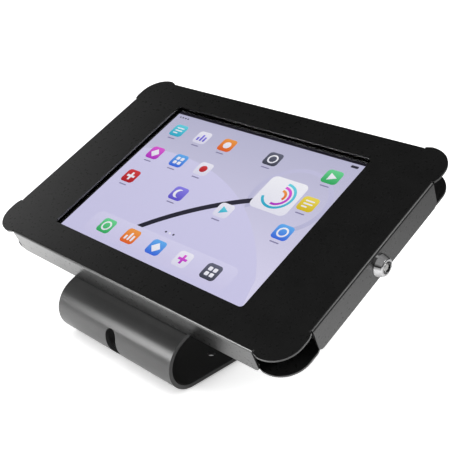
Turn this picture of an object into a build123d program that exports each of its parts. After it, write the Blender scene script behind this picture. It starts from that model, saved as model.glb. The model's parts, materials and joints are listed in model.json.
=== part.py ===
from build123d import *
import os
from math import cos, hypot, radians, sin

# Tablet kiosk stand: a locking case of bent steel sheet, on a foot bent from one steel strip.
# X runs to the right across the screen, Y to the back and Z up, in millimetres.
# The origin is on the underside of the base, in the middle of the four desk screw holes.

overrun = 2.0  # how far a cut runs past the face that it opens

# Foot: one strip, flat on the desk, bent round at the front and back up under the case
strip_width = 123.0
strip_thick = 3.0
bend_radius = 21.8
screen_tilt = 25.4
strip_corner = 10.0
cable_slot_length = 24.6
cable_slot_width = 11.0
cable_slot_drop = 13.2  # degrees below the level of the bend's middle
desk_hole_diameter = 6.0
desk_hole_span_x = 90.0
desk_hole_span_y = 90.0
desk_holes_back = 80.0  # middle of the bend to the middle of the desk holes
desk_hole_edge = 25.0  # middle of a back desk hole to the back edge of the base
arm_hole_edge = 22.4  # middle of an upper case screw to the free end of the arm
foot_diameter = 14.0
foot_thick = 1.5
foot_edge = 5.0  # rim of a rubber foot to the strip's edge

# Case: a tray and a cover of the same sheet, each with a round lobe at every corner
case_thick = 22.3
case_up_arm = 105.1  # start of the arm to the middle of the case, along the arm
sheet_thick = 1.5
sheet_bend = 1.9
lobe_radius = 20.0
lobe_rise = 4.4  # length over which a lobe swells out to its full size
lobe_side_run = 0.8  # straight part of a lobe along the front and back
lobe_edge_run = 6.0  # straight part of a lobe along the sides
lobe_start_round = 0.3
lobe_tip_round = 5.0
relief_width = 1.2
relief_round = 0.2
flange_corner = 4.5
side_space = 29.8  # tablet's side to the tray's side flange
edge_space = 12.65  # tablet's front or back edge to the tray's flange
cover_flange = 21.0
cover_lobe = 1.4  # how far a lobe stands out past the flanges
cover_gap = 1.2
tray_flange = 19.0
tray_end_step = 5.0  # end of a cover flange back to the end of the tray's behind it
tray_lobe = 1.5
tray_lobe_radius = 20.5
window_over_sides = 0.95  # how far the window clears the display at each side
window_over_edges = 1.8
window_corner = 3.0

# Hooks on the tray's left flange, that the cover swings about
hook_width = 20.0
hook_spacing = 90.0
hook_reach = 2.5
hook_lip = 2.2
hook_play = 0.8
hook_side_play = 1.0

# Tray fixings: the four screws to the arm, and the cable's way in
mount_span = 75.0
mount_screw = 4.0
mount_hole = 4.5
mount_head = 7.6
mount_head_height = 2.2
mount_socket = 2.5
mount_socket_depth = 1.3
mount_nut = 7.0
mount_nut_height = 3.2
mount_screw_tail = 1.0
thread_gap = 0.05
cable_hole = 28.0
grommet_bore = 18.0
grommet_lip = 3.0
grommet_lip_thick = 1.5

# Tubular cam lock in the cover's right flange
lock_height = 10.8  # above the tray's underside
lock_base = 16.0
lock_base_thick = 0.9
lock_rim = 12.2
lock_projection = 5.8
lock_rim_bevel = 0.5
lock_barrel = 10.0
lock_barrel_flats = 9.0
lock_barrel_length = 14.5
keyway_outer = 8.8
keyway_floor = 1.0
plug_gap = 0.15
plug_face_thick = 1.5
plug_body = 6.6
plug_post = 5.2
plug_post_inset = 0.5
pin_count = 7
pin_diameter = 1.1
pin_height = 0.6
key_index = 1.6
key_index_depth = 0.7
washer_diameter = 14.0
washer_thick = 0.6
lock_nut = 13.0
lock_nut_height = 2.4
lock_notch = 22.0
drive_square = 4.6
drive_length = 3.0
cam_thick = 2.0
cam_hub = 8.8
cam_tip = 6.0
cam_reach = 8.8
cam_screw = 2.5
cam_screw_length = 5.0
cam_screw_head = 6.4
cam_screw_head_height = 1.6
fit_gap = 0.1

# Strike bracket on the tray floor, over the turned cam
strike_width = 10.0
strike_before_cam = 1.5
strike_start = 5.0
strike_shelf = 8.5
strike_foot = 13.0
cam_clearance = 0.9
rivet_diameter = 3.2
rivet_head = 5.6
rivet_head_height = 1.0
rivet_spacing = 6.0

# Tablet
display_width = 197.1
display_depth = 147.8
tablet_side_border = 21.45
tablet_edge_border = 10.85
tablet_thick = 7.5
tablet_corner = 10.0
tablet_back_bevel = 2.5
tablet_down = 3.0  # cover's face to the glass
glass_thick = 1.0
glass_inset = 0.6
layer_thick = 0.3
home_button = 11.0
home_button_in = 10.5  # middle of the button to the tablet's right edge
home_button_sink = 0.5
home_button_travel = 0.3
button_gap = 0.15
side_button_length = 10.0
side_button_thick = 2.6
side_button_proud = 0.6
side_button_sink = 1.5
side_button_travel = 0.4
side_button_spare = 0.3
power_button_in = 25.0  # middle of the button to the tablet's back edge
volume_button_in = 20.0  # middle of the first button to the tablet's left edge
volume_button_pitch = 13.0
port_width = 9.0
port_thick = 3.0
port_deep = 6.0

# Foam inside the case, and the seal round the window
gasket_inset = 1.5
gasket_width = 6.0
gasket_thick = 1.2
bed_inset = 2.0
bed_screw_pocket = 10.0
bed_cable_pocket = 40.0
block_down = 2.0  # top of a block below the top of the tray's flanges
block_gap = 0.2
left_block_in = 39.75  # tablet's front or back edge to the end of the left block
right_block_in = 20.25
right_block_start = 32.0  # middle of the case to the first end of a right block
edge_block_in = 45.0  # tablet's side to the end of a block along the front or back
edge_block_start = 15.0

# Places that follow from the sizes above
strip_half = strip_width / 2
bend_y = -desk_holes_back
bend_z = bend_radius
bend_inside = bend_radius - strip_thick
tilt_sin = sin(radians(screen_tilt))
tilt_cos = cos(radians(screen_tilt))
arm_start_y = bend_y - bend_radius * tilt_sin
arm_start_z = bend_z + bend_radius * tilt_cos
base_reach = desk_holes_back + desk_hole_span_y / 2 + desk_hole_edge  # middle of the bend to the back edge
arm_reach = case_up_arm + mount_span / 2 + arm_hole_edge  # end of the bend to the free end of the arm

# The case is drawn flat, with its origin in the middle of the tray's underside, then laid on the arm
case_place = Location(
    Plane(
        origin=(0, arm_start_y + case_up_arm * tilt_cos, arm_start_z + case_up_arm * tilt_sin),
        x_dir=(1, 0, 0),
        z_dir=(0, -tilt_sin, tilt_cos),
    )
)
tablet_width = display_width + 2 * tablet_side_border
tablet_depth = display_depth + 2 * tablet_edge_border
window_width = display_width + 2 * window_over_sides
window_depth = display_depth + 2 * window_over_edges
tray_width = tablet_width + 2 * side_space
tray_depth = tablet_depth + 2 * edge_space
cover_width = tray_width + 2 * (sheet_thick + cover_gap)
cover_depth = tray_depth + 2 * (sheet_thick + cover_gap)
tray_step = sheet_thick + cover_gap  # from the cover's flanges in to the tray's
lobe_end = lobe_radius - cover_lobe + lobe_rise + relief_width
cover_side_corner = lobe_end + lobe_side_run  # side flange to the end of the front and back flanges
cover_edge_corner = lobe_end + lobe_edge_run  # front or back flange to the end of the side flanges
tray_side_corner = cover_side_corner - tray_step + tray_end_step
tray_edge_corner = cover_edge_corner - tray_step + tray_end_step
cover_under = case_thick - sheet_thick
cover_edge = case_thick - cover_flange
glass_top = case_thick - tablet_down
shell_top = glass_top - glass_thick - layer_thick
tablet_back = glass_top - tablet_thick
hook_bottom = cover_edge + hook_lip + hook_play
mount_sides = (-mount_span / 2, mount_span / 2)
mount_points = [(x, y) for x in mount_sides for y in mount_sides]
lock_place = Pos(cover_width / 2, 0, lock_height) * Rot(0, 90, 0)
barrel_end = -(sheet_thick + lock_barrel_length)
drive_end = barrel_end - drive_length
cam_end = drive_end - cam_thick
home_button_x = tablet_width / 2 - home_button_in

nodes = {}


def disc(diameter, height, bottom=0.0):
    """An upright cylinder that starts at the height bottom."""
    return Pos(0, 0, bottom) * extrude(Circle(diameter / 2), height)


def block(size_x, size_y, size_z, x=0.0, y=0.0, z=0.0):
    """A box with its middle at x and y and its underside at z."""
    return Pos(x, y, z + size_z / 2) * Box(size_x, size_y, size_z)


def on_case(*pieces):
    """Pieces drawn flat in the case, laid on the arm."""
    placed = [case_place * solid for piece in pieces for solid in piece.solids()]
    return placed[0] if len(placed) == 1 else Compound(children=placed)


def bent_strip():
    """Side view of the foot: base, bend and arm at one thickness."""
    inside_start_y = bend_y - bend_inside * tilt_sin
    inside_start_z = bend_z + bend_inside * tilt_cos
    arm_y = arm_reach * tilt_cos
    arm_z = arm_reach * tilt_sin
    top_angle = 90 + screen_tilt
    base_back = bend_y + base_reach
    side = [
        Line((base_back, 0), (bend_y, 0)),
        CenterArc((bend_y, bend_z), bend_radius, 270, top_angle - 270),
        Line((arm_start_y, arm_start_z), (arm_start_y + arm_y, arm_start_z + arm_z)),
        Line((arm_start_y + arm_y, arm_start_z + arm_z), (inside_start_y + arm_y, inside_start_z + arm_z)),
        Line((inside_start_y + arm_y, inside_start_z + arm_z), (inside_start_y, inside_start_z)),
        CenterArc((bend_y, bend_z), bend_inside, top_angle, 270 - top_angle),
        Line((bend_y, strip_thick), (base_back, strip_thick)),
        Line((base_back, strip_thick), (base_back, 0)),
    ]
    return extrude(Plane.YZ * make_face(Curve() + side), strip_half, both=True)


def corner_tool(reach_y, reach_z):
    """What comes off the two free corners of a strip that ends at Y = 0 and runs forward from there."""
    square = block(strip_width + overrun, 2 * strip_corner, reach_z, 0, 0, -reach_z / 2)
    keep = Pos(0, -reach_y / 2, -reach_z / 2) * extrude(
        RectangleRounded(strip_width, reach_y, strip_corner), reach_z
    )
    return square - keep


def foot_strip():
    """The foot with rounded free corners, desk holes, case holes and the cable slot."""
    strip = bent_strip()
    cut_height = strip_thick + overrun
    base_end = Pos(0, bend_y + base_reach, strip_thick / 2)
    arm_end = case_place * Pos(0, arm_reach - case_up_arm, -strip_thick / 2)
    strip -= base_end * corner_tool(base_reach, cut_height)
    strip -= arm_end * corner_tool(arm_reach, cut_height)
    desk_holes = GridLocations(desk_hole_span_x, desk_hole_span_y, 2, 2)
    strip -= desk_holes * disc(desk_hole_diameter, cut_height, -overrun / 2)
    for x, y in mount_points:
        strip -= case_place * Pos(x, y, -strip_thick - overrun / 2) * disc(mount_hole, cut_height)
    strip -= case_place * disc(cable_hole, cut_height, -strip_thick - overrun / 2)
    slot_outline = SlotOverall(cable_slot_length, cable_slot_width, rotation=90)
    slot_plane = Plane(origin=(0, bend_y, bend_z), x_dir=(1, 0, 0), z_dir=(0, -1, 0))
    slot = slot_plane * extrude(slot_outline, bend_radius + overrun)
    return strip - slot.rotate(Axis((0, bend_y, bend_z), (1, 0, 0)), cable_slot_drop)


def rubber_feet():
    """Four stick-on pads under the corners of the base."""
    in_x = strip_half - foot_edge - foot_diameter / 2
    back_y = bend_y + base_reach - foot_edge - foot_diameter / 2
    front_y = bend_y + foot_edge + foot_diameter / 2
    pad = disc(foot_diameter, foot_thick, -foot_thick)
    pads = [Pos(x, y, 0) * pad for x in (-in_x, in_x) for y in (front_y, back_y)]
    return Compound(children=pads)


def flange(distance, span, height):
    """One bent flange along X at Y = -distance, with the bend that joins it to the sheet."""
    bend_middle = (-distance + sheet_bend, sheet_bend)
    inside_bend = sheet_bend - sheet_thick
    section = [
        CenterArc(bend_middle, sheet_bend, 270, -90),
        Line((-distance, sheet_bend), (-distance, height)),
        Line((-distance, height), (-distance + sheet_thick, height)),
        Line((-distance + sheet_thick, height), (-distance + sheet_thick, sheet_bend)),
        CenterArc(bend_middle, inside_bend, 180, 90),
        Line((-distance + sheet_bend, sheet_thick), (-distance + sheet_bend, 0)),
    ]
    wall = extrude(Plane.YZ * make_face(Curve() + section), span / 2, both=True)
    return fillet(wall.edges().filter_by(Axis.Y).group_by(Axis.Z)[-1], flange_corner)


def pan_floor(width, depth, corners, lobe, radius):
    """The floor's outline: straight along the four bends, and swollen out to a round lobe at every corner."""
    side_corner, edge_corner = corners
    long_side = (width / 2, depth / 2, side_corner, edge_corner)
    short_side = (depth / 2, width / 2, edge_corner, side_corner)
    outline = []
    for turn, (along, across, this_corner, next_corner) in enumerate((long_side, short_side) * 2):
        start = along - this_corner + relief_width
        end = across - next_corner + relief_width
        corner = [
            (start, across - sheet_bend),
            (start, across),
            (start + lobe_rise, across + lobe),
            (along + lobe, across + lobe),
            (along + lobe, end + lobe_rise),
            (along, end),
            (along - sheet_bend, end),
        ]
        outline += [Vector(x, y).rotate(Axis.Z, -90 * turn) for x, y in corner]
    side_radii = [relief_round, lobe_start_round, lobe_tip_round]
    radii = (side_radii + [radius] + side_radii[::-1]) * 4
    return extrude(make_face(FilletPolyline(*outline, radius=radii, close=True)), sheet_thick)


def sheet_pan(width, depth, height, corners, lobe, radius):
    """A pan of bent sheet: a floor with round corner lobes, and four flanges between small relief cuts."""
    side_corner, edge_corner = corners
    pan = pan_floor(width, depth, corners, lobe, radius)
    for turn in (0, 180):
        pan += Rot(0, 0, turn) * flange(depth / 2, width - 2 * side_corner, height)
        pan += Rot(0, 0, turn + 90) * flange(width / 2, depth - 2 * edge_corner, height)
    return pan


def rear_tray():
    """The tray: hooks lanced out of its left flange, a notch for the lock, and the floor holes."""
    corners = (tray_side_corner, tray_edge_corner)
    tray = sheet_pan(tray_width, tray_depth, tray_flange, corners, tray_lobe, tray_lobe_radius)
    hook_out = cover_gap + hook_reach
    outer_x = -tray_width / 2
    cut_x = sheet_thick + 2 * overrun
    for y in (-hook_spacing / 2, hook_spacing / 2):
        window_x = outer_x + sheet_thick / 2
        tray -= block(cut_x, hook_width, hook_out, window_x, y, hook_bottom + sheet_thick)
        tray += block(hook_out, hook_width, sheet_thick, outer_x - hook_out / 2, y, hook_bottom)
    tray -= block(cut_x, lock_notch, tray_flange, tray_width / 2 - sheet_thick / 2, 0, sheet_bend)
    for x, y in mount_points:
        tray -= Pos(x, y, 0) * disc(mount_hole, sheet_thick + overrun, -overrun / 2)
    tray -= disc(cable_hole, sheet_thick + overrun, -overrun / 2)
    for x, y in rivet_points():
        tray -= Pos(x, y, 0) * disc(rivet_diameter, sheet_thick + overrun, -overrun / 2)
    return tray


def barrel_section(gap):
    """Section of the lock's barrel, round with two flats, grown by gap."""
    return Circle(lock_barrel / 2 + gap) & Rectangle(lock_barrel + 4 * gap, lock_barrel_flats + 2 * gap)


def front_cover():
    """The cover: window, the slots that take the hooks, and the lock's hole with two flats."""
    corners = (cover_side_corner, cover_edge_corner)
    pan = sheet_pan(cover_width, cover_depth, cover_flange, corners, cover_lobe, lobe_radius)
    cover = Pos(0, 0, case_thick) * Rot(180, 0, 0) * pan
    window = extrude(RectangleRounded(window_width, window_depth, window_corner), sheet_thick + overrun)
    cover -= Pos(0, 0, cover_under - overrun / 2) * window
    slot_low = cover_edge + hook_lip
    slot_top = cover_edge + hypot(hook_reach, hook_lip + hook_play + sheet_thick) + hook_play / 2
    slot_length = hook_width + 2 * hook_side_play
    flange_middle = -cover_width / 2 + sheet_thick / 2
    for y in (-hook_spacing / 2, hook_spacing / 2):
        cover -= block(sheet_thick + overrun, slot_length, slot_top - slot_low, flange_middle, y, slot_low)
    hole = extrude(barrel_section(fit_gap), sheet_thick + overrun)
    return cover - lock_place * Pos(0, 0, -sheet_thick - overrun / 2) * hole


def window_gasket():
    """A flat foam seal under the cover, just outside the window."""
    inside_x = window_width + 2 * gasket_inset
    inside_y = window_depth + 2 * gasket_inset
    outline = RectangleRounded(inside_x + 2 * gasket_width, inside_y + 2 * gasket_width, gasket_width)
    strip = extrude(outline - RectangleRounded(inside_x, inside_y, window_corner), gasket_thick)
    return Pos(0, 0, cover_under - gasket_thick) * strip


def stand_screws():
    """Socket-head screws from inside the tray, through the tray and the arm."""
    length = sheet_thick + strip_thick + mount_nut_height + mount_screw_tail
    head = disc(mount_head, mount_head_height, sheet_thick)
    socket_bottom = sheet_thick + mount_head_height - mount_socket_depth
    socket = extrude(RegularPolygon(mount_socket / 2, 6, major_radius=False), mount_socket_depth + overrun)
    screw = head + disc(mount_screw, length, sheet_thick - length) - Pos(0, 0, socket_bottom) * socket
    return [Pos(x, y, 0) * screw for x, y in mount_points]


def stand_nuts():
    """Hexagon nuts under the arm."""
    section = RegularPolygon(mount_nut / 2, 6, major_radius=False) - Circle(mount_screw / 2 + thread_gap)
    nut = Pos(0, 0, -strip_thick - mount_nut_height) * extrude(section, mount_nut_height)
    return [Pos(x, y, 0) * nut for x, y in mount_points]


def cable_grommet():
    """A rubber ring that lines the cable hole and grips both plates."""
    low = -strip_thick - grommet_lip_thick
    lip = cable_hole + 2 * grommet_lip
    body = disc(cable_hole, strip_thick + sheet_thick + 2 * grommet_lip_thick, low)
    body += disc(lip, grommet_lip_thick, low)
    body += disc(lip, grommet_lip_thick, sheet_thick)
    through = strip_thick + sheet_thick + 2 * grommet_lip_thick + overrun
    return body - disc(grommet_bore, through, low - overrun / 2)


def lock_housing():
    """The chromed lock case: a coned head outside the flange and a flatted barrel inside it."""
    rim = lock_rim / 2
    outline = Polyline(
        (0, 0),
        (lock_base / 2, 0),
        (lock_base / 2, lock_base_thick),
        (rim, lock_projection),
        (0, lock_projection),
        (0, 0),
    )
    head = revolve(Plane.XZ * make_face(outline), Axis.Z)
    head = chamfer(head.edges().group_by(Axis.Z)[-1], lock_rim_bevel)
    barrel = Pos(0, 0, barrel_end) * extrude(barrel_section(0), -barrel_end)
    keyway = disc(keyway_outer, lock_projection, keyway_floor)
    bore = disc(plug_body + 2 * plug_gap, lock_projection - barrel_end + overrun, barrel_end - overrun)
    index = block(key_index, key_index_depth, lock_projection, 0, 0, keyway_floor)
    index = Pos(0, (keyway_outer + key_index_depth) / 2 - thread_gap, 0) * index
    return head + barrel - keyway - bore - index


def lock_plug():
    """The turning plug: face with its pins, centre post, body and the square that drives the cam."""
    face = keyway_floor + plug_gap
    post_top = lock_projection - plug_post_inset
    plug = disc(keyway_outer - 2 * plug_gap, plug_face_thick, face)
    post = disc(plug_post, post_top - face, face)
    plug += chamfer(post.edges().group_by(Axis.Z)[-1], plug_post_inset)
    plug += disc(plug_body, face - barrel_end, barrel_end)
    plug += block(drive_square, drive_square, barrel_end - cam_end, 0, 0, cam_end)
    return plug - disc(cam_screw + 2 * thread_gap, cam_screw_length + overrun, cam_end - overrun)


def lock_pins():
    """The pins that stand round the centre post."""
    face = keyway_floor + plug_gap + plug_face_thick
    circle = (keyway_outer - 2 * plug_gap + plug_post) / 4
    return [where * disc(pin_diameter, pin_height, face) for where in PolarLocations(circle, pin_count)]


def lock_cam():
    """The cam: a round hub drawn out to a round tip, on the plug's square."""
    tip_x = cam_reach - cam_tip / 2
    outline = make_hull((Circle(cam_hub / 2) + Pos(tip_x, 0) * Circle(cam_tip / 2)).edges())
    hole = Rectangle(drive_square + 2 * thread_gap, drive_square + 2 * thread_gap)
    return Pos(0, 0, cam_end) * extrude(outline - hole, cam_thick)


def cam_screw_piece():
    """The screw that holds the cam on the plug."""
    head = disc(cam_screw_head, cam_screw_head_height, cam_end - cam_screw_head_height)
    return head + disc(cam_screw, cam_screw_length, cam_end)


def lock_washer():
    """A flat washer with the barrel's flats, inside the flange."""
    section = Circle(washer_diameter / 2) - barrel_section(thread_gap)
    return Pos(0, 0, -sheet_thick - washer_thick) * extrude(section, washer_thick)


def lock_nut_piece():
    """The thin nut that clamps the lock to the flange."""
    section = RegularPolygon(lock_nut / 2, 6, major_radius=False) - Circle(lock_barrel / 2 + thread_gap)
    bottom = -sheet_thick - washer_thick - lock_nut_height
    return Pos(0, 0, bottom) * extrude(section, lock_nut_height)


def strike_edges():
    """Where the strike begins and ends along X, and the height of the underside of its shelf."""
    cam_middle = cover_width / 2 + (drive_end + cam_end) / 2
    right_x = cam_middle + cam_thick / 2 + strike_before_cam
    return right_x - strike_width, right_x, lock_height + cam_tip / 2 + cam_clearance


def strike():
    """A bent bracket: a foot on the tray, an upright, and a shelf that the turned cam goes under."""
    left_x, right_x, shelf_under = strike_edges()
    post_y = strike_start + strike_shelf
    foot_end = post_y + strike_foot
    floor = sheet_thick
    outline = Polyline(
        (strike_start, shelf_under),
        (strike_start, shelf_under + sheet_thick),
        (post_y, shelf_under + sheet_thick),
        (post_y, floor + sheet_thick),
        (foot_end, floor + sheet_thick),
        (foot_end, floor),
        (post_y - sheet_thick, floor),
        (post_y - sheet_thick, shelf_under),
        (strike_start, shelf_under),
    )
    bracket = Pos(left_x, 0, 0) * extrude(Plane.YZ * make_face(outline), right_x - left_x)
    for x, y in rivet_points():
        bracket -= Pos(x, y, 0) * disc(rivet_diameter, 2 * sheet_thick + overrun, floor - overrun / 2)
    return bracket


def rivet_points():
    """Places of the two rivets, in the middle of the strike's foot."""
    left_x, right_x, _ = strike_edges()
    middle = strike_start + strike_shelf + strike_foot / 2
    return [((left_x + right_x) / 2, middle + side * rivet_spacing / 2) for side in (-1, 1)]


def strike_rivets():
    """Rivets through the strike's foot and the tray, flush with the tray's underside."""
    head = disc(rivet_head, rivet_head_height, 2 * sheet_thick)
    rivet = head + disc(rivet_diameter, 2 * sheet_thick)
    return [Pos(x, y, 0) * rivet for x, y in rivet_points()]


def side_button():
    """A side button in a face at Y = 0, pushed along -Y."""
    outline = SlotOverall(side_button_length, side_button_thick)
    return extrude(Plane.XZ * outline, -side_button_proud) + extrude(Plane.XZ * outline, side_button_sink)


def side_button_places():
    """Where the tablet's side buttons sit: name, and the place and turn of the face they stand in."""
    middle = (tablet_back + shell_top) / 2
    power_y = tablet_depth / 2 - power_button_in
    first_x = -tablet_width / 2 + volume_button_in
    return {
        "tablet_power_button": Pos(-tablet_width / 2, power_y, middle) * Rot(0, 0, 90),
        "tablet_volume_up_button": Pos(first_x, tablet_depth / 2, middle),
        "tablet_volume_down_button": Pos(first_x + volume_button_pitch, tablet_depth / 2, middle),
    }


def tablet_shell():
    """The tablet's metal shell, with pockets for its buttons and its charging port."""
    height = shell_top - tablet_back
    shell = extrude(RectangleRounded(tablet_width, tablet_depth, tablet_corner), height)
    shell = chamfer(shell.edges().group_by(Axis.Z)[0], tablet_back_bevel)
    shell = Pos(0, 0, tablet_back) * shell
    room = home_button_sink + home_button_travel + button_gap
    shell -= Pos(home_button_x, 0, shell_top - room) * disc(home_button + 2 * button_gap, room + overrun)
    outline = SlotOverall(side_button_length + 2 * button_gap, side_button_thick + 2 * button_gap)
    depth = side_button_sink + side_button_travel + side_button_spare
    pocket = extrude(Plane.XZ * outline, depth) + extrude(Plane.XZ * outline, -overrun)
    for place in side_button_places().values():
        shell -= place * pocket
    port = extrude(Plane.YZ * SlotOverall(port_width, port_thick), port_deep + overrun)
    return shell - Pos(tablet_width / 2 - port_deep, 0, (tablet_back + shell_top) / 2) * port


def tablet_layers():
    """The display, the black border round it, the glass over both, and the home button."""
    width = tablet_width - 2 * glass_inset
    depth = tablet_depth - 2 * glass_inset
    face = RectangleRounded(width, depth, tablet_corner - glass_inset)
    hole = Pos(home_button_x, 0) * Circle(home_button / 2 + button_gap)
    panel = Rectangle(display_width, display_depth)
    layer_bottom = shell_top
    button_bottom = shell_top - home_button_sink
    button_height = home_button_sink + layer_thick + glass_thick
    return {
        "tablet_display": Pos(0, 0, layer_bottom) * extrude(panel, layer_thick),
        "tablet_border": Pos(0, 0, layer_bottom) * extrude(face - panel - hole, layer_thick),
        "tablet_glass": Pos(0, 0, layer_bottom + layer_thick) * extrude(face - hole, glass_thick),
        "tablet_home_button": Pos(home_button_x, 0, 0) * disc(home_button, button_height, button_bottom),
    }


def foam_bed():
    """The pad under the tablet, with pockets over the screw heads and the cable hole."""
    outline = Rectangle(tablet_width - 2 * bed_inset, tablet_depth - 2 * bed_inset)
    for x, y in mount_points:
        outline -= Pos(x, y) * Circle(bed_screw_pocket / 2)
    outline -= Circle(bed_cable_pocket / 2)
    return Pos(0, 0, sheet_thick) * extrude(outline, tablet_back - sheet_thick)


def foam_blocks():
    """Blocks between the tablet's edges and the tray's flanges, clear of the lock and the buttons."""
    height = tray_flange - block_down - sheet_thick
    side_start = tablet_width / 2 + block_gap
    side_end = tray_width / 2 - sheet_bend
    side_x = side_end - side_start
    side_middle = (side_end + side_start) / 2
    edge_start = tablet_depth / 2 + block_gap
    edge_end = tray_depth / 2 - sheet_bend
    edge_y = edge_end - edge_start
    edge_middle = (edge_end + edge_start) / 2
    right_length = tablet_depth / 2 - right_block_in - right_block_start
    edge_length = tablet_width / 2 - edge_block_in - edge_block_start
    places = [(side_x, tablet_depth - 2 * left_block_in, -side_middle, 0)]
    for side in (-1, 1):
        right_y = side * (right_block_start + right_length / 2)
        places.append((side_x, right_length, side_middle, right_y))
        for end in (-1, 1):
            edge_x = end * (edge_block_start + edge_length / 2)
            places.append((edge_length, edge_y, edge_x, side * edge_middle))
    return [block(sx, sy, height, x, y, sheet_thick) for sx, sy, x, y in places]


def build():
    """Every node, by name."""
    nodes["foot_strip"] = foot_strip()
    nodes["rubber_feet"] = rubber_feet()
    nodes["rear_tray"] = on_case(rear_tray())
    nodes["stand_screws"] = on_case(*stand_screws())
    nodes["stand_nuts"] = on_case(*stand_nuts())
    nodes["cable_grommet"] = on_case(cable_grommet())
    nodes["lock_strike"] = on_case(strike())
    nodes["strike_rivets"] = on_case(*strike_rivets())
    nodes["foam_bed"] = on_case(foam_bed())
    nodes["foam_blocks"] = on_case(*foam_blocks())
    nodes["front_cover"] = on_case(front_cover())
    nodes["window_gasket"] = on_case(window_gasket())
    nodes["lock_housing"] = on_case(lock_place * lock_housing())
    nodes["lock_washer"] = on_case(lock_place * lock_washer())
    nodes["lock_nut"] = on_case(lock_place * lock_nut_piece())
    nodes["lock_plug"] = on_case(lock_place * lock_plug())
    nodes["lock_pins"] = on_case(*[lock_place * pin for pin in lock_pins()])
    nodes["lock_cam"] = on_case(lock_place * lock_cam())
    nodes["cam_screw"] = on_case(lock_place * cam_screw_piece())
    nodes["tablet_shell"] = on_case(tablet_shell())
    for name, layer in tablet_layers().items():
        nodes[name] = on_case(layer)
    for name, place in side_button_places().items():
        nodes[name] = on_case(place * side_button())


build()
os.makedirs("parts", exist_ok=True)
for name, piece in nodes.items():
    export_step(piece, "parts/" + name + ".step")
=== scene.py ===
import json
import math

import bmesh
import bpy
from mathutils import Matrix, Vector
from mathutils import noise as turbulence


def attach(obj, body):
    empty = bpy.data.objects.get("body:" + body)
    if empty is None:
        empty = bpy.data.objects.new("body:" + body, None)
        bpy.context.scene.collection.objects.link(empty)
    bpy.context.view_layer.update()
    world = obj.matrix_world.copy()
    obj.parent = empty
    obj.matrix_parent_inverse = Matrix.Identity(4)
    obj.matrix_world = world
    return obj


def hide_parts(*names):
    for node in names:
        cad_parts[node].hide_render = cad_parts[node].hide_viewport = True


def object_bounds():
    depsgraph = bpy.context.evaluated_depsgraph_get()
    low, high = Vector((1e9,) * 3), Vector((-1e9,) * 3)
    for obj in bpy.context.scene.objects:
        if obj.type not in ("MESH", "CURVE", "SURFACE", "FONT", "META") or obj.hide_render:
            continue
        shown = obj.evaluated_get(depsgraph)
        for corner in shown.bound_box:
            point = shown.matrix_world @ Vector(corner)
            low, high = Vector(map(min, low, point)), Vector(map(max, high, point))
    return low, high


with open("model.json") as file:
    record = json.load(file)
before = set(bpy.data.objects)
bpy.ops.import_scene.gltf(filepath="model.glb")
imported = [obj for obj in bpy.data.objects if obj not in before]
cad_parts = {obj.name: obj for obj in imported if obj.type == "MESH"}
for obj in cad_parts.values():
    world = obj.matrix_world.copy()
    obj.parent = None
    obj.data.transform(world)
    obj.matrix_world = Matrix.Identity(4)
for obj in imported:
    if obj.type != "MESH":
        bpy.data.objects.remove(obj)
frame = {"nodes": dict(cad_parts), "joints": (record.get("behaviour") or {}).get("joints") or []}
cad_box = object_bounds()
nodes = frame["nodes"]
joints = {joint["name"]: joint for joint in frame["joints"]}
scene = bpy.context.scene

MM = 0.001
PURE_WHITE = (1.0, 1.0, 1.0, 1.0)
PURE_BLACK = (0.0, 0.0, 0.0, 1.0)

# The case's own directions: right across the screen, up the screen, and out of it
RIGHT = Vector((1, 0, 0))
UP_SCREEN = -Vector(joints["cover_swing"]["axis"])
OUT = -Vector(joints["home_button_press"]["axis"])


def span(node, direction):
    """Lowest and highest reach of a CAD node along a direction."""
    reach = [vertex.co.dot(direction) for vertex in nodes[node].data.vertices]
    return min(reach), max(reach)


def add_object(name, data):
    """A new object in the scene that shows the data."""
    added = bpy.data.objects.new(name, data)
    scene.collection.objects.link(added)
    return added


# Building blocks of the materials

def new_material(name):
    material = bpy.data.materials.new(name)
    material.use_nodes = True
    return material, material.node_tree, material.node_tree.nodes["Principled BSDF"]


def add(tree, kind, **values):
    node = tree.nodes.new(kind)
    for key, value in values.items():
        setattr(node, key, value)
    return node


def noise(tree, scale, detail, stretch=(1.0, 1.0, 1.0), roughness=0.55):
    """Noise in the object's own metres, finer along an axis where stretch is larger."""
    where = add(tree, "ShaderNodeTexCoord")
    mapping = add(tree, "ShaderNodeMapping")
    mapping.inputs["Scale"].default_value = stretch
    texture = add(tree, "ShaderNodeTexNoise")
    texture.inputs["Scale"].default_value = scale
    texture.inputs["Detail"].default_value = detail
    texture.inputs["Roughness"].default_value = roughness
    tree.links.new(where.outputs["Object"], mapping.inputs["Vector"])
    tree.links.new(mapping.outputs["Vector"], texture.inputs["Vector"])
    return texture.outputs["Fac"]


def axes(tree, space):
    """X, Y and Z of a place, in the space that an output of the texture coordinates names."""
    where = add(tree, "ShaderNodeTexCoord")
    split = add(tree, "ShaderNodeSeparateXYZ")
    tree.links.new(where.outputs[space], split.inputs["Vector"])
    return split.outputs


def combine(tree, operation, *numbers):
    """Several numbers taken together, two by two, by a maths operation."""
    result = numbers[0]
    for number in numbers[1:]:
        node = add(tree, "ShaderNodeMath", operation=operation)
        tree.links.new(result, node.inputs[0])
        tree.links.new(number, node.inputs[1])
        result = node.outputs["Value"]
    return result


def between(tree, factor, low, high, start, stop):
    """A number that runs from low to high as the factor runs from start to stop."""
    node = add(tree, "ShaderNodeMapRange")
    node.inputs["From Min"].default_value = start
    node.inputs["From Max"].default_value = stop
    node.inputs["To Min"].default_value = low
    node.inputs["To Max"].default_value = high
    tree.links.new(factor, node.inputs["Value"])
    return node.outputs["Result"]


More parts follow.
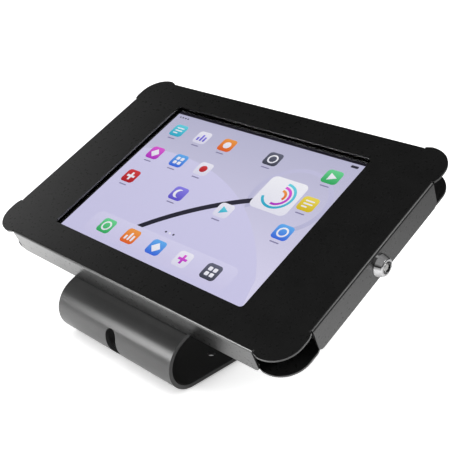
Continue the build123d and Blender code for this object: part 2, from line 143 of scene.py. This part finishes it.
def ramp(tree, factor, *stops):
    """A colour ramp through (place, colour) stops."""
    node = add(tree, "ShaderNodeValToRGB")
    elements = node.color_ramp.elements
    while len(elements) < len(stops):
        elements.new(0.5)
    for element, (place, colour) in zip(elements, stops):
        element.position = place
        element.color = (*colour, 1.0)
    tree.links.new(factor, node.inputs["Fac"])
    return node.outputs["Color"]


def tint(tree, shader, pattern, dark, light, start=0.3, stop=0.7):
    """Base colour that runs from dark to light with a pattern."""
    tree.links.new(ramp(tree, pattern, (start, dark), (stop, light)), shader.inputs["Base Color"])


def roughen(tree, shader, pattern, smooth, rough, start=0.3, stop=0.7):
    """Roughness that runs from smooth to rough with a pattern."""
    tree.links.new(between(tree, pattern, smooth, rough, start, stop), shader.inputs["Roughness"])


def bump(tree, shader, height, strength, distance, edge=0.0):
    """Relief on the shader's normal, over edges softened by the radius edge."""
    node = add(tree, "ShaderNodeBump")
    node.inputs["Strength"].default_value = strength
    node.inputs["Distance"].default_value = distance
    tree.links.new(height, node.inputs["Height"])
    if edge:
        rounded_edge = add(tree, "ShaderNodeBevel", samples=6)
        rounded_edge.inputs["Radius"].default_value = edge
        tree.links.new(rounded_edge.outputs["Normal"], node.inputs["Normal"])
    tree.links.new(node.outputs["Normal"], shader.inputs["Normal"])


def grey(value):
    return (value, value, value)


# Materials of the CAD nodes

MARKED = 0.86  # brightness of a metal's marks, as a share of the metal's own


def powder_coat(name, dark, light, smooth, rough, ior, layer):
    """Black powder coat: fine orange peel, a little unevenness in its gloss, softened edges."""
    material, tree, shader = new_material(name)
    tint(tree, shader, noise(tree, 60.0, 4.0), grey(dark), grey(light))
    roughen(tree, shader, noise(tree, 420.0, 4.0), smooth, rough)
    bump(tree, shader, noise(tree, 1500.0, 2.0), 0.02, 0.03 * MM, edge=0.3 * MM)
    shader.inputs["IOR"].default_value = ior
    shader.inputs["Coat Weight"].default_value = layer
    shader.inputs["Coat Roughness"].default_value = (smooth + rough) / 2
    return material


def metal(name, colour, smooth, rough, strength, stretch=(1.0, 1.0, 1.0), edge=0.15 * MM):
    """Bare metal with fine marks."""
    material, tree, shader = new_material(name)
    marks = noise(tree, 900.0, 3.0, stretch)
    marked = tuple(part * MARKED for part in colour)
    tint(tree, shader, marks, marked, colour, 0.35, 0.65)
    roughen(tree, shader, marks, smooth, rough)
    bump(tree, shader, marks, strength, 0.02 * MM, edge)
    shader.inputs["Metallic"].default_value = 1.0
    return material


def soft_black(name, dark, light, scale, smooth, rough, depth):
    """Rubber or foam: matt, with pores of the given scale."""
    material, tree, shader = new_material(name)
    pores = noise(tree, scale, 4.0, roughness=0.7)
    tint(tree, shader, pores, grey(dark), grey(light), 0.35, 0.65)
    roughen(tree, shader, pores, smooth, rough)
    bump(tree, shader, pores, 0.6, depth)
    return material


def gloss_black(name, dark, light, smooth, rough):
    """Printed black under glass, or a glossy button."""
    material, tree, shader = new_material(name)
    haze = noise(tree, 300.0, 2.0)
    tint(tree, shader, haze, grey(dark), grey(light))
    roughen(tree, shader, haze, smooth, rough)
    return material


def clear_glass(name):
    """The tablet's cover glass, with the faintest haze of handling."""
    material, tree, shader = new_material(name)
    roughen(tree, shader, noise(tree, 40.0, 5.0), 0.0, 0.015, 0.4, 0.75)
    shader.inputs["Base Color"].default_value = PURE_WHITE
    shader.inputs["Transmission Weight"].default_value = 1.0
    shader.inputs["IOR"].default_value = 1.45
    return material


def dress(material, *names):
    """Give CAD nodes a material."""
    for name in names:
        slots = nodes[name].material_slots
        if not slots:
            nodes[name].data.materials.append(material)
        for each in slots:
            each.material = material


case_coat = powder_coat("case_coat", 0.0038, 0.0058, 0.27, 0.29, 1.62, 1.0)
foot_coat = powder_coat("foot_coat", 0.028, 0.034, 0.28, 0.30, 1.36, 0.7)
zinc = metal("zinc_plate", (0.60, 0.60, 0.57), 0.28, 0.42, 0.2)
chrome = metal("lock_chrome", (0.88, 0.88, 0.89), 0.05, 0.10, 0.05, (0.2, 1.0, 1.0), 0.3 * MM)
nickel = metal("plug_nickel", (0.70, 0.70, 0.69), 0.22, 0.34, 0.15)
foam = soft_black("foam", 0.010, 0.030, 1400.0, 0.87, 0.95, 0.2 * MM)
rubber = soft_black("rubber", 0.012, 0.022, 900.0, 0.67, 0.75, 0.05 * MM)
shell_metal = metal("anodised_shell", (0.72, 0.72, 0.74), 0.32, 0.42, 0.15)

dress(case_coat, "front_cover", "rear_tray")
dress(foot_coat, "foot_strip")
dress(zinc, "stand_screws", "stand_nuts", "lock_strike", "strike_rivets")
dress(zinc, "lock_washer", "lock_nut", "lock_cam", "cam_screw")
dress(chrome, "lock_housing")
dress(nickel, "lock_plug", "lock_pins")
dress(rubber, "rubber_feet", "cable_grommet")
dress(shell_metal, "tablet_shell", "tablet_power_button")
dress(shell_metal, "tablet_volume_up_button", "tablet_volume_down_button")
dress(gloss_black("tablet_black", 0.004, 0.006, 0.25, 0.40), "tablet_border")
dress(gloss_black("button_black", 0.006, 0.009, 0.12, 0.192), "tablet_home_button")
dress(clear_glass("tablet_cover_glass"), "tablet_glass")


# Foam: soft-edged pieces in place of the plain solids, a little uneven as cut foam is

FOAM_WAVE = 0.009  # distance over which a foam face rises and falls
SAME_PLANE = math.radians(2)
SHARP_RIM = math.radians(50)


def foam_piece(node, body, round_over, longest, dip):
    """A copy of the node's solid with its rims rounded over and its faces slightly wavy."""
    shape = bmesh.new()
    shape.from_mesh(nodes[node].data)
    bmesh.ops.remove_doubles(shape, verts=shape.verts, dist=0.01 * MM)
    bmesh.ops.dissolve_limit(shape, angle_limit=SAME_PLANE, verts=shape.verts, edges=shape.edges)
    rims = [edge for edge in shape.edges if edge.calc_face_angle(0.0) > SHARP_RIM]
    bmesh.ops.bevel(
        shape, geom=rims, offset=round_over, segments=3, profile=0.5, affect="EDGES", clamp_overlap=True
    )
    bmesh.ops.triangulate(shape, faces=shape.faces)
    for _ in range(3):
        long_edges = [edge for edge in shape.edges if edge.calc_length() > longest]
        bmesh.ops.subdivide_edges(shape, edges=long_edges, cuts=1)
        bmesh.ops.triangulate(shape, faces=[face for face in shape.faces if len(face.verts) > 3])
    shape.normal_update()
    for vertex in shape.verts:
        wave = turbulence.noise(vertex.co / FOAM_WAVE)
        vertex.co -= vertex.normal * dip * (0.5 + 0.5 * wave)
    data = bpy.data.meshes.new("soft_" + node)
    shape.to_mesh(data)
    shape.free()
    data.materials.append(foam)
    for face in data.polygons:
        face.use_smooth = True
    piece = add_object("soft_" + node, data)
    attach(piece, body)
    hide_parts(node)


foam_piece("foam_bed", "case", 1.2 * MM, 12 * MM, 0.12 * MM)
foam_piece("foam_blocks", "case", 1.5 * MM, 8 * MM, 0.12 * MM)
foam_piece("window_gasket", "cover", 0.35 * MM, 8 * MM, 0.02 * MM)


# The lit screen: a plain home screen of flat shapes, drawn in millimetres from the screen's middle

screen_left, screen_right = span("tablet_display", RIGHT)
screen_near, screen_far = span("tablet_display", UP_SCREEN)
screen_middle = (
    RIGHT * (screen_left + screen_right) / 2
    + UP_SCREEN * (screen_near + screen_far) / 2
    + OUT * span("tablet_display", OUT)[0]
)
screen_place = Matrix.Translation(screen_middle) @ Matrix((RIGHT, UP_SCREEN, OUT)).transposed().to_4x4()
half_x = (screen_right - screen_left) / 2 / MM
half_y = (screen_far - screen_near) / 2 / MM

# The lit area within the panel
lit_x = half_x - 2.0
lit_bottom = -half_y
lit_top = half_y - 3.4

# Heights between which the screen's layers lie
LAYERS = {
    "panel": (0.0, 0.09),
    "sky": (0.09, 0.12),
    "hills": (0.12, 0.15),
    "trails": (0.15, 0.18),
    "dock": (0.18, 0.21),
    "tiles": (0.21, 0.24),
    "signs": (0.24, 0.27),
}


def linear(red, green, blue):
    """A colour given as screen values from 0 to 255."""
    parts = [value / 255 for value in (red, green, blue)]
    return tuple(part / 12.92 if part <= 0.04045 else ((part + 0.055) / 1.055) ** 2.4 for part in parts)


def lit(name, low, high):
    """A lit colour that runs from low at a shape's bottom to high at its top."""
    material, tree, shader = new_material(name)
    place = add(tree, "ShaderNodeUVMap", uv_map="shape")
    split = add(tree, "ShaderNodeSeparateXYZ")
    tree.links.new(place.outputs["UV"], split.inputs["Vector"])
    colour = ramp(tree, split.outputs["Y"], (0.0, linear(*low)), (1.0, linear(*high)))
    tree.links.new(colour, shader.inputs["Emission Color"])
    shader.inputs["Emission Strength"].default_value = 1.0
    shader.inputs["Base Color"].default_value = PURE_BLACK
    shader.inputs["Specular IOR Level"].default_value = 0.0
    shader.inputs["Roughness"].default_value = 1.0
    return material


def arc_points(x, y, radius, start, stop, steps):
    angles = [math.radians(start + (stop - start) * step / steps) for step in range(steps + 1)]
    return [(x + radius * math.cos(angle), y + radius * math.sin(angle)) for angle in angles]


def rounded(x, y, width, height, radius, steps=6):
    """Outline of a rounded rectangle."""
    across, up = width / 2 - radius, height / 2 - radius
    outline = []
    for turn, (side, end) in enumerate(((1, 1), (-1, 1), (-1, -1), (1, -1))):
        outline += arc_points(x + side * across, y + end * up, radius, 90 * turn, 90 * turn + 90, steps)
    return outline


def rectangle(left, right, bottom, top):
    return [(left, bottom), (right, bottom), (right, top), (left, top)]


def circle(x, y, radius, steps=28):
    return arc_points(x, y, radius, 0, 360, steps)[:-1]


def band(x, y, inner, outer, start, stop):
    """Outline of a part of a ring."""
    return arc_points(x, y, outer, start, stop, 30) + arc_points(x, y, inner, stop, start, 30)


def moved(outline, x, y):
    return [(x + point_x, y + point_y) for point_x, point_y in outline]


def kept_inside(outline):
    """An outline drawn in to the lit area's edges where it would pass them."""
    return [(max(-lit_x, min(lit_x, x)), max(lit_bottom, min(lit_top, y))) for x, y in outline]


class Drawing:
    """Thin flat shapes on the screen, gathered into one mesh with one material to a colour."""

    def __init__(self, name):
        self.name = name
        self.mesh = bmesh.new()
        self.uv = self.mesh.loops.layers.uv.new("shape")
        self.materials = []

    def shape(self, outline, material, layer):
        """A prism of the outline, through the thickness of its layer."""
        if material not in self.materials:
            self.materials.append(material)
        xs = [x for x, _ in outline]
        ys = [y for _, y in outline]
        left, bottom = min(xs), min(ys)
        width, height = max(xs) - left, max(ys) - bottom
        rings = []
        for level in LAYERS[layer]:
            rings.append([self.mesh.verts.new((x * MM, y * MM, level * MM)) for x, y in outline])
        under, over = rings
        faces = [self.mesh.faces.new(over), self.mesh.faces.new(list(reversed(under)))]
        count = len(outline)
        for i in range(count):
            j = (i + 1) % count
            faces.append(self.mesh.faces.new((under[i], under[j], over[j], over[i])))
        for face in faces:
            face.material_index = self.materials.index(material)
            for loop in face.loops:
                place = loop.vert.co / MM
                loop[self.uv].uv = ((place.x - left) / width, (place.y - bottom) / height)

    def finish(self, *replaced):
        data = bpy.data.meshes.new(self.name)
        self.mesh.to_mesh(data)
        self.mesh.free()
        for material in self.materials:
            data.materials.append(material)
        piece = add_object(self.name, data)
        piece.matrix_world = screen_place
        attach(piece, "case")
        if replaced:
            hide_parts(*replaced)


unlit = lit("screen_unlit", (7, 7, 10), (7, 7, 10))
border_painted_glow = lit("screen_border_painted_glow", (30, 28, 38), (26, 25, 33))
sky = lit("screen_sky", (222, 218, 244), (190, 189, 216))
far_hill = lit("screen_far_hill", (206, 203, 236), (212, 209, 240))
near_hill = lit("screen_near_hill", (188, 187, 218), (200, 198, 228))
trail = lit("screen_trail", (40, 40, 52), (52, 50, 64))
label = lit("screen_label", (138, 134, 170), (138, 134, 170))
dock = lit("screen_dock", (208, 204, 236), (216, 213, 242))
white = lit("screen_white", (232, 231, 244), (246, 246, 252))
tile_colours = {
    "green": ((52, 168, 96), (112, 216, 150)),
    "red": ((176, 34, 44), (214, 66, 70)),
    "blue": ((62, 104, 222), (104, 178, 244)),
    "orange": ((226, 96, 44), (244, 160, 78)),
    "magenta": ((176, 56, 196), (226, 96, 214)),
    "teal": ((48, 172, 204), (112, 216, 232)),
    "yellow": ((214, 186, 40), (240, 220, 92)),
    "slate": ((66, 68, 82), (104, 106, 124)),
    "pale": ((222, 220, 240), (240, 239, 250)),
    "violet": ((96, 84, 204), (142, 132, 236)),
}
tiles = {name: lit("screen_" + name, low, high) for name, (low, high) in tile_colours.items()}

panel = Drawing("screen_panel")
panel.shape(rectangle(-half_x, half_x, -half_y, half_y), unlit, "panel")
panel.shape(rectangle(-lit_x, lit_x, lit_bottom, lit_top), sky, "sky")
# A painted glow along the top: a dim lit colour in place of the light on the tablet's black border
panel.shape(rectangle(-lit_x, lit_x, lit_top, half_y - 0.4), border_painted_glow, "sky")
panel.finish("tablet_display")

DOCK_Y = -59
hill_top = kept_inside(arc_points(-58, -150, 178, 107, 34, 40))
picture = Drawing("screen_picture")
picture.shape(hill_top + [(lit_x, lit_bottom), (-lit_x, lit_bottom)], far_hill, "hills")
picture.shape(band(150, -190, 226, 231, 113, 143), trail, "trails")
picture.shape(band(64, 20, 29, 33, -50, 215), near_hill, "trails")
picture.shape(rounded(0, DOCK_Y, 150, 22, 6), dock, "dock")
picture.finish()

# Plain signs for the tiles, as outlines about the tile's middle
ARM, ARM_HALF = 4.2, 1.1
signs = {
    "ring": [band(0, 0, 3.2, 4.6, 0, 359.9)],
    "dot": [circle(0, 0, 3.6)],
    "bars": [
        rounded(x, height / 2 - 4, 2.0, height, 0.6, 3) for x, height in ((-3.4, 4.0), (0, 7.5), (3.4, 5.5))
    ],
    "play": [[(-2.8, -3.8), (4.0, 0), (-2.8, 3.8)]],
    "cross": [[
        (-ARM_HALF, -ARM), (ARM_HALF, -ARM), (ARM_HALF, -ARM_HALF), (ARM, -ARM_HALF),
        (ARM, ARM_HALF), (ARM_HALF, ARM_HALF), (ARM_HALF, ARM), (-ARM_HALF, ARM),
        (-ARM_HALF, ARM_HALF), (-ARM, ARM_HALF), (-ARM, -ARM_HALF), (-ARM_HALF, -ARM_HALF),
    ]],
    "grid": [rounded(x, y, 3.4, 3.4, 0.8, 3) for x in (-2.3, 2.3) for y in (-2.3, 2.3)],
    "lines": [
        rounded(length / 2 - 4, y, length, 1.3, 0.6, 3) for y, length in ((3, 8.0), (0, 8.0), (-3, 5.0))
    ],
    "diamond": [[(0, -4.6), (4.6, 0), (0, 4.6), (-4.6, 0)]],
    "moon": [arc_points(-0.4, 0, 4.4, 60, 300, 20) + arc_points(1.8, 0, 3.8, 270, 92, 18)],
}

TILE = 14.0
TILE_CORNER = 3.2
apps = Drawing("screen_apps")


def app_tile(x, y, colour, sign, ink):
    """A coloured tile with its sign."""
    apps.shape(rounded(x, y, TILE, TILE, TILE_CORNER), tiles[colour], "tiles")
    for outline in signs[sign]:
        apps.shape(moved(outline, x, y), ink, "signs")


home_rows = {
    52: (
        (-80, "teal", "lines", white),
        (-52, "pale", "bars", tiles["violet"]),
        (-24, "orange", "dot", white),
        (24, "slate", "ring", white),
        (80, "green", "play", white),
    ),
    22: (
        (-80, "magenta", "diamond", white),
        (-52, "blue", "grid", white),
        (-24, "pale", "dot", tiles["red"]),
        (80, "yellow", "lines", white),
    ),
    -8: (
        (-80, "red", "cross", white),
        (-24, "violet", "moon", white),
        (24, "pale", "play", tiles["teal"]),
        (80, "blue", "ring", white),
    ),
}
for y, row in home_rows.items():
    for x, colour, sign, ink in row:
        app_tile(x, y, colour, sign, ink)
        apps.shape(rounded(x, y - 10.0, 8.0, 1.1, 0.5, 2), label, "tiles")

dock_row = (
    (-56, "green", "ring", white),
    (-28, "orange", "bars", white),
    (0, "blue", "diamond", white),
    (28, "pale", "cross", tiles["magenta"]),
    (56, "slate", "grid", white),
)
for x, colour, sign, ink in dock_row:
    app_tile(x, DOCK_Y, colour, sign, ink)

# A card with three rings, part of the way round
CARD_X, CARD_Y = 54, 21
apps.shape(rounded(CARD_X, CARD_Y, 34, 34, 5), white, "tiles")
card_rings = (("teal", 11.3, 13.5, 250), ("magenta", 7.7, 9.9, 190), ("orange", 4.1, 6.3, 120))
for colour, inner, outer, turn in card_rings:
    apps.shape(band(CARD_X, CARD_Y, inner, outer, 90, 90 - turn), tiles[colour], "signs")

# Page dots over the dock, and small marks along the top
for x, ink in ((-4, trail), (0, white), (4, trail)):
    apps.shape(circle(x, -43.5, 0.9, 12), ink, "tiles")
MARKS_Y = lit_top - 3.4
apps.shape(rounded(lit_x - 7, MARKS_Y, 6.5, 2.4, 0.7, 3), trail, "tiles")
for i in range(4):
    apps.shape(circle(-lit_x + 5 + 3 * i, MARKS_Y, 0.8, 12), trail, "tiles")
apps.finish()


# Camera, as the photograph's

AZIMUTH = math.radians(43.614)
ELEVATION = math.radians(23.985)
camera_data = bpy.data.cameras.new("camera")
camera_data.lens = 66.353
camera_data.sensor_width = 36.0
camera = add_object("camera", camera_data)
camera.location = (0.40946, -0.41293, 0.33664)
camera.rotation_euler = (math.pi / 2 - ELEVATION, 0.0, AZIMUTH)
scene.camera = camera


# Floor

FLOOR_HALF = 4.0
CONTACT_REACH = 0.07  # how far round the part its contact shadow spreads


def floor_material():
    """Pale floor: plain diffuse for the light, glowing white for the camera with painted contact shade
    close to the part, and painted light and shade where it is mirrored.
    """
    material, tree, shader = new_material("floor")
    place = axes(tree, "Object")
    path = add(tree, "ShaderNodeLightPath").outputs
    shade = add(tree, "ShaderNodeAmbientOcclusion", samples=8)
    shade.inputs["Distance"].default_value = CONTACT_REACH
    openness = shade.outputs["AO"]

    # Painted shade: mirrored in the part, the floor's colour is darkened behind it, far in front of it and
    # close round it
    painted_shade_in_mirrors = combine(
        tree, "ADD",
        between(tree, place["Y"], 0.0, 0.5, 0.02, 0.35),
        between(tree, place["Y"], 0.55, 0.0, -0.32, -0.16),
        between(tree, openness, 0.2, 0.0, 0.35, 0.7),
    )
    pale = add(tree, "ShaderNodeMix", data_type="RGBA")
    tree.links.new(combine(tree, "MULTIPLY", path["Is Glossy Ray"], painted_shade_in_mirrors), pale.inputs["Factor"])
    speckled = ramp(tree, noise(tree, 6.0, 2.0), (0.3, grey(0.84)), (0.7, grey(0.86)))
    tree.links.new(speckled, pale.inputs["A"])
    pale.inputs["B"].default_value = PURE_BLACK
    tree.links.new(pale.outputs["Result"], shader.inputs["Base Color"])
    shader.inputs["Roughness"].default_value = 0.9
    shader.inputs["Specular IOR Level"].default_value = 0.1

    # It glows for the camera, less close round the part as painted contact shade, and in mirrors a patch in
    # front of the part, to the left, glows as painted light
    seen = combine(tree, "MULTIPLY", path["Is Camera Ray"], between(tree, openness, 0.25, 0.75, 0.08, 0.66))
    mirrored = combine(
        tree, "MULTIPLY",
        between(tree, place["Y"], 0.8, 0.0, -0.15, 0.03),
        between(tree, place["Y"], 0.0, 1.0, -0.26, -0.15),
        between(tree, place["X"], 1.0, 0.0, 0.08, 0.18),
        between(tree, place["X"], 0.0, 1.0, -0.34, -0.24),
        between(tree, openness, 0.3, 1.0, 0.6, 0.95),
        path["Is Glossy Ray"],
    )
    shader.inputs["Emission Color"].default_value = PURE_WHITE
    tree.links.new(combine(tree, "ADD", seen, mirrored), shader.inputs["Emission Strength"])
    return material


floor_mesh = bpy.data.meshes.new("floor")
floor_corners = [(x * FLOOR_HALF, y * FLOOR_HALF, 0) for x, y in ((-1, -1), (1, -1), (1, 1), (-1, 1))]
floor_mesh.from_pydata(floor_corners, [], [(0, 1, 2, 3)])
floor_mesh.materials.append(floor_material())
floor = add_object("floor", floor_mesh)
floor.location.z = cad_box[0][2]


# Background and lamps

FILL = 0.5  # strength of the even light from all round


def white_light(tree, strength=1.0):
    node = add(tree, "ShaderNodeBackground")
    node.inputs["Color"].default_value = PURE_WHITE
    node.inputs["Strength"].default_value = strength
    return node


def switch(tree, factor, off, on):
    """One light where the factor is 0, the other where it is 1."""
    node = add(tree, "ShaderNodeMixShader")
    tree.links.new(factor, node.inputs["Fac"])
    tree.links.new(off.outputs[0], node.inputs[1])
    tree.links.new(on.outputs[0], node.inputs[2])
    return node


def world_light():
    """White for the camera, an even fill, and for mirrors a dim studio, lighter left and overhead."""
    world = bpy.data.worlds.new("studio")
    world.use_nodes = True
    tree = world.node_tree
    tree.nodes.clear()
    path = add(tree, "ShaderNodeLightPath").outputs
    toward = axes(tree, "Generated")
    leftness = between(tree, toward["X"], 0.0, 0.87, -0.752, -0.85)
    backness = between(tree, toward["Y"], 0.0, 1.0, -0.35, -0.05)
    left_wall = combine(tree, "MULTIPLY", leftness, leftness, backness)
    ceiling = combine(
        tree, "MULTIPLY",
        between(tree, toward["X"], 0.02, 0.26, -0.3, 0.1),
        between(tree, toward["Z"], 0.1, 1.0, 0.15, 0.5),
    )
    studio = white_light(tree)
    tree.links.new(combine(tree, "ADD", ceiling, left_wall), studio.inputs["Strength"])
    mirrors = combine(tree, "MAXIMUM", path["Is Glossy Ray"], path["Is Transmission Ray"])
    unseen = switch(tree, mirrors, white_light(tree, FILL), studio)
    everything = switch(tree, path["Is Camera Ray"], unseen, white_light(tree))
    output = add(tree, "ShaderNodeOutputWorld")
    tree.links.new(everything.outputs["Shader"], output.inputs["Surface"])
    scene.world = world


def softbox(name, place, aim, size, power, mirrored=True):
    """An area lamp, wide and high as size says, that points at aim."""
    data = bpy.data.lights.new(name, "AREA")
    data.shape = "RECTANGLE"
    data.size, data.size_y = size
    data.energy = power
    lamp = add_object(name, data)
    lamp.location = place
    lamp.rotation_euler = (Vector(aim) - Vector(place)).to_track_quat("-Z", "Y").to_euler()
    lamp.visible_glossy = mirrored


world_light()
CASE_MIDDLE = (0.0, -0.02, 0.08)
FOOT_FRONT = (-0.05, -0.10, 0.0)
softbox("overhead", (0.2, 0.1, 1.7), CASE_MIDDLE, (1.6, 1.6), 11.3, mirrored=False)
softbox("front_left", (-0.61, -1.17, 0.32), CASE_MIDDLE, (0.64, 0.5), 9.4)
softbox("right_high", (0.95, 0.25, 1.25), CASE_MIDDLE, (0.5, 0.9), 3.6)
softbox("front_low", (-0.20, -0.62, 0.16), FOOT_FRONT, (0.6, 0.12), 1.6, mirrored=False)

scene.view_settings.view_transform = "Standard"
